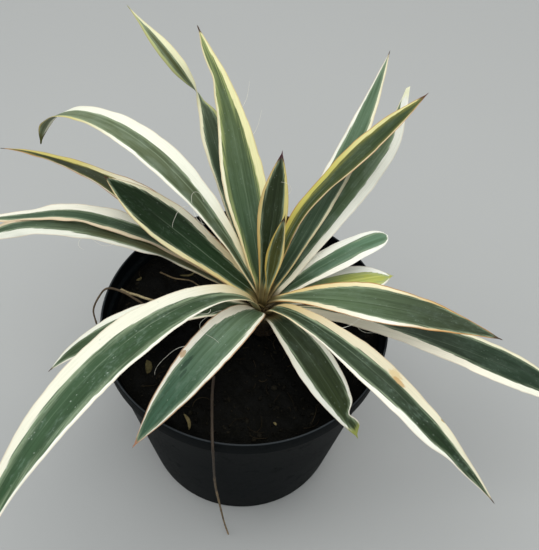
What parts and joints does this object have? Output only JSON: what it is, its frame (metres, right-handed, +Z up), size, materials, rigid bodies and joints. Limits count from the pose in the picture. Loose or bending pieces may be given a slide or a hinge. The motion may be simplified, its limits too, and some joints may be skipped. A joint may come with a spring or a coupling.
{
  "type": "potted yucca",
  "caption": "Young variegated yucca: stiff cream-edged sword leaves spring and arch from a short crown, in a round tapered nursery pot filled with soil.",
  "frame": {"origin": "centre of the pot's underside, on the floor", "axes": "+Z up along the pot's axis; -Y is the front, the side that the picture is taken from; +X is to the right as seen from the front"},
  "size_m": [0.4421, 0.3331, 0.2837],
  "materials": {
    "pot_plastic": "black nursery plastic, satin, a little dusty",
    "soil": "loose dark peat, matt",
    "crown": "brown leaf scars, matt",
    "leaf": "leathery blade, blue-green middle with cream and white margins, low sheen",
    "dry_straw": "dry tan stalk, matt",
    "wiry_root": "dry brown root, matt"
  },
  "bodies": {
    "root": {"pot": "pot_plastic", "soil": "soil", "crown": "crown", "leaf_back_kinked": "leaf", "leaf_back_upright": "leaf", "leaf_heart_spear": "leaf", "leaf_heart_bud": "leaf", "leaf_back_folded": "leaf", "leaf_back_right": "leaf", "leaf_right_curled": "leaf", "leaf_right_blunt": "leaf", "leaf_right_small": "leaf", "leaf_right_broad": "leaf", "leaf_right_low": "leaf", "leaf_front_right_long": "leaf", "leaf_front_right_short": "leaf", "leaf_front_left_short": "leaf", "leaf_front_left_long": "leaf", "leaf_left_small": "leaf", "leaf_left_upper": "leaf", "leaf_left_lower": "leaf", "leaf_left_twisted": "leaf", "leaf_left_broad": "leaf", "leaf_left_arching": "leaf", "dry_straw": "dry_straw", "wiry_root": "wiry_root"}
  },
  "joints": []
}
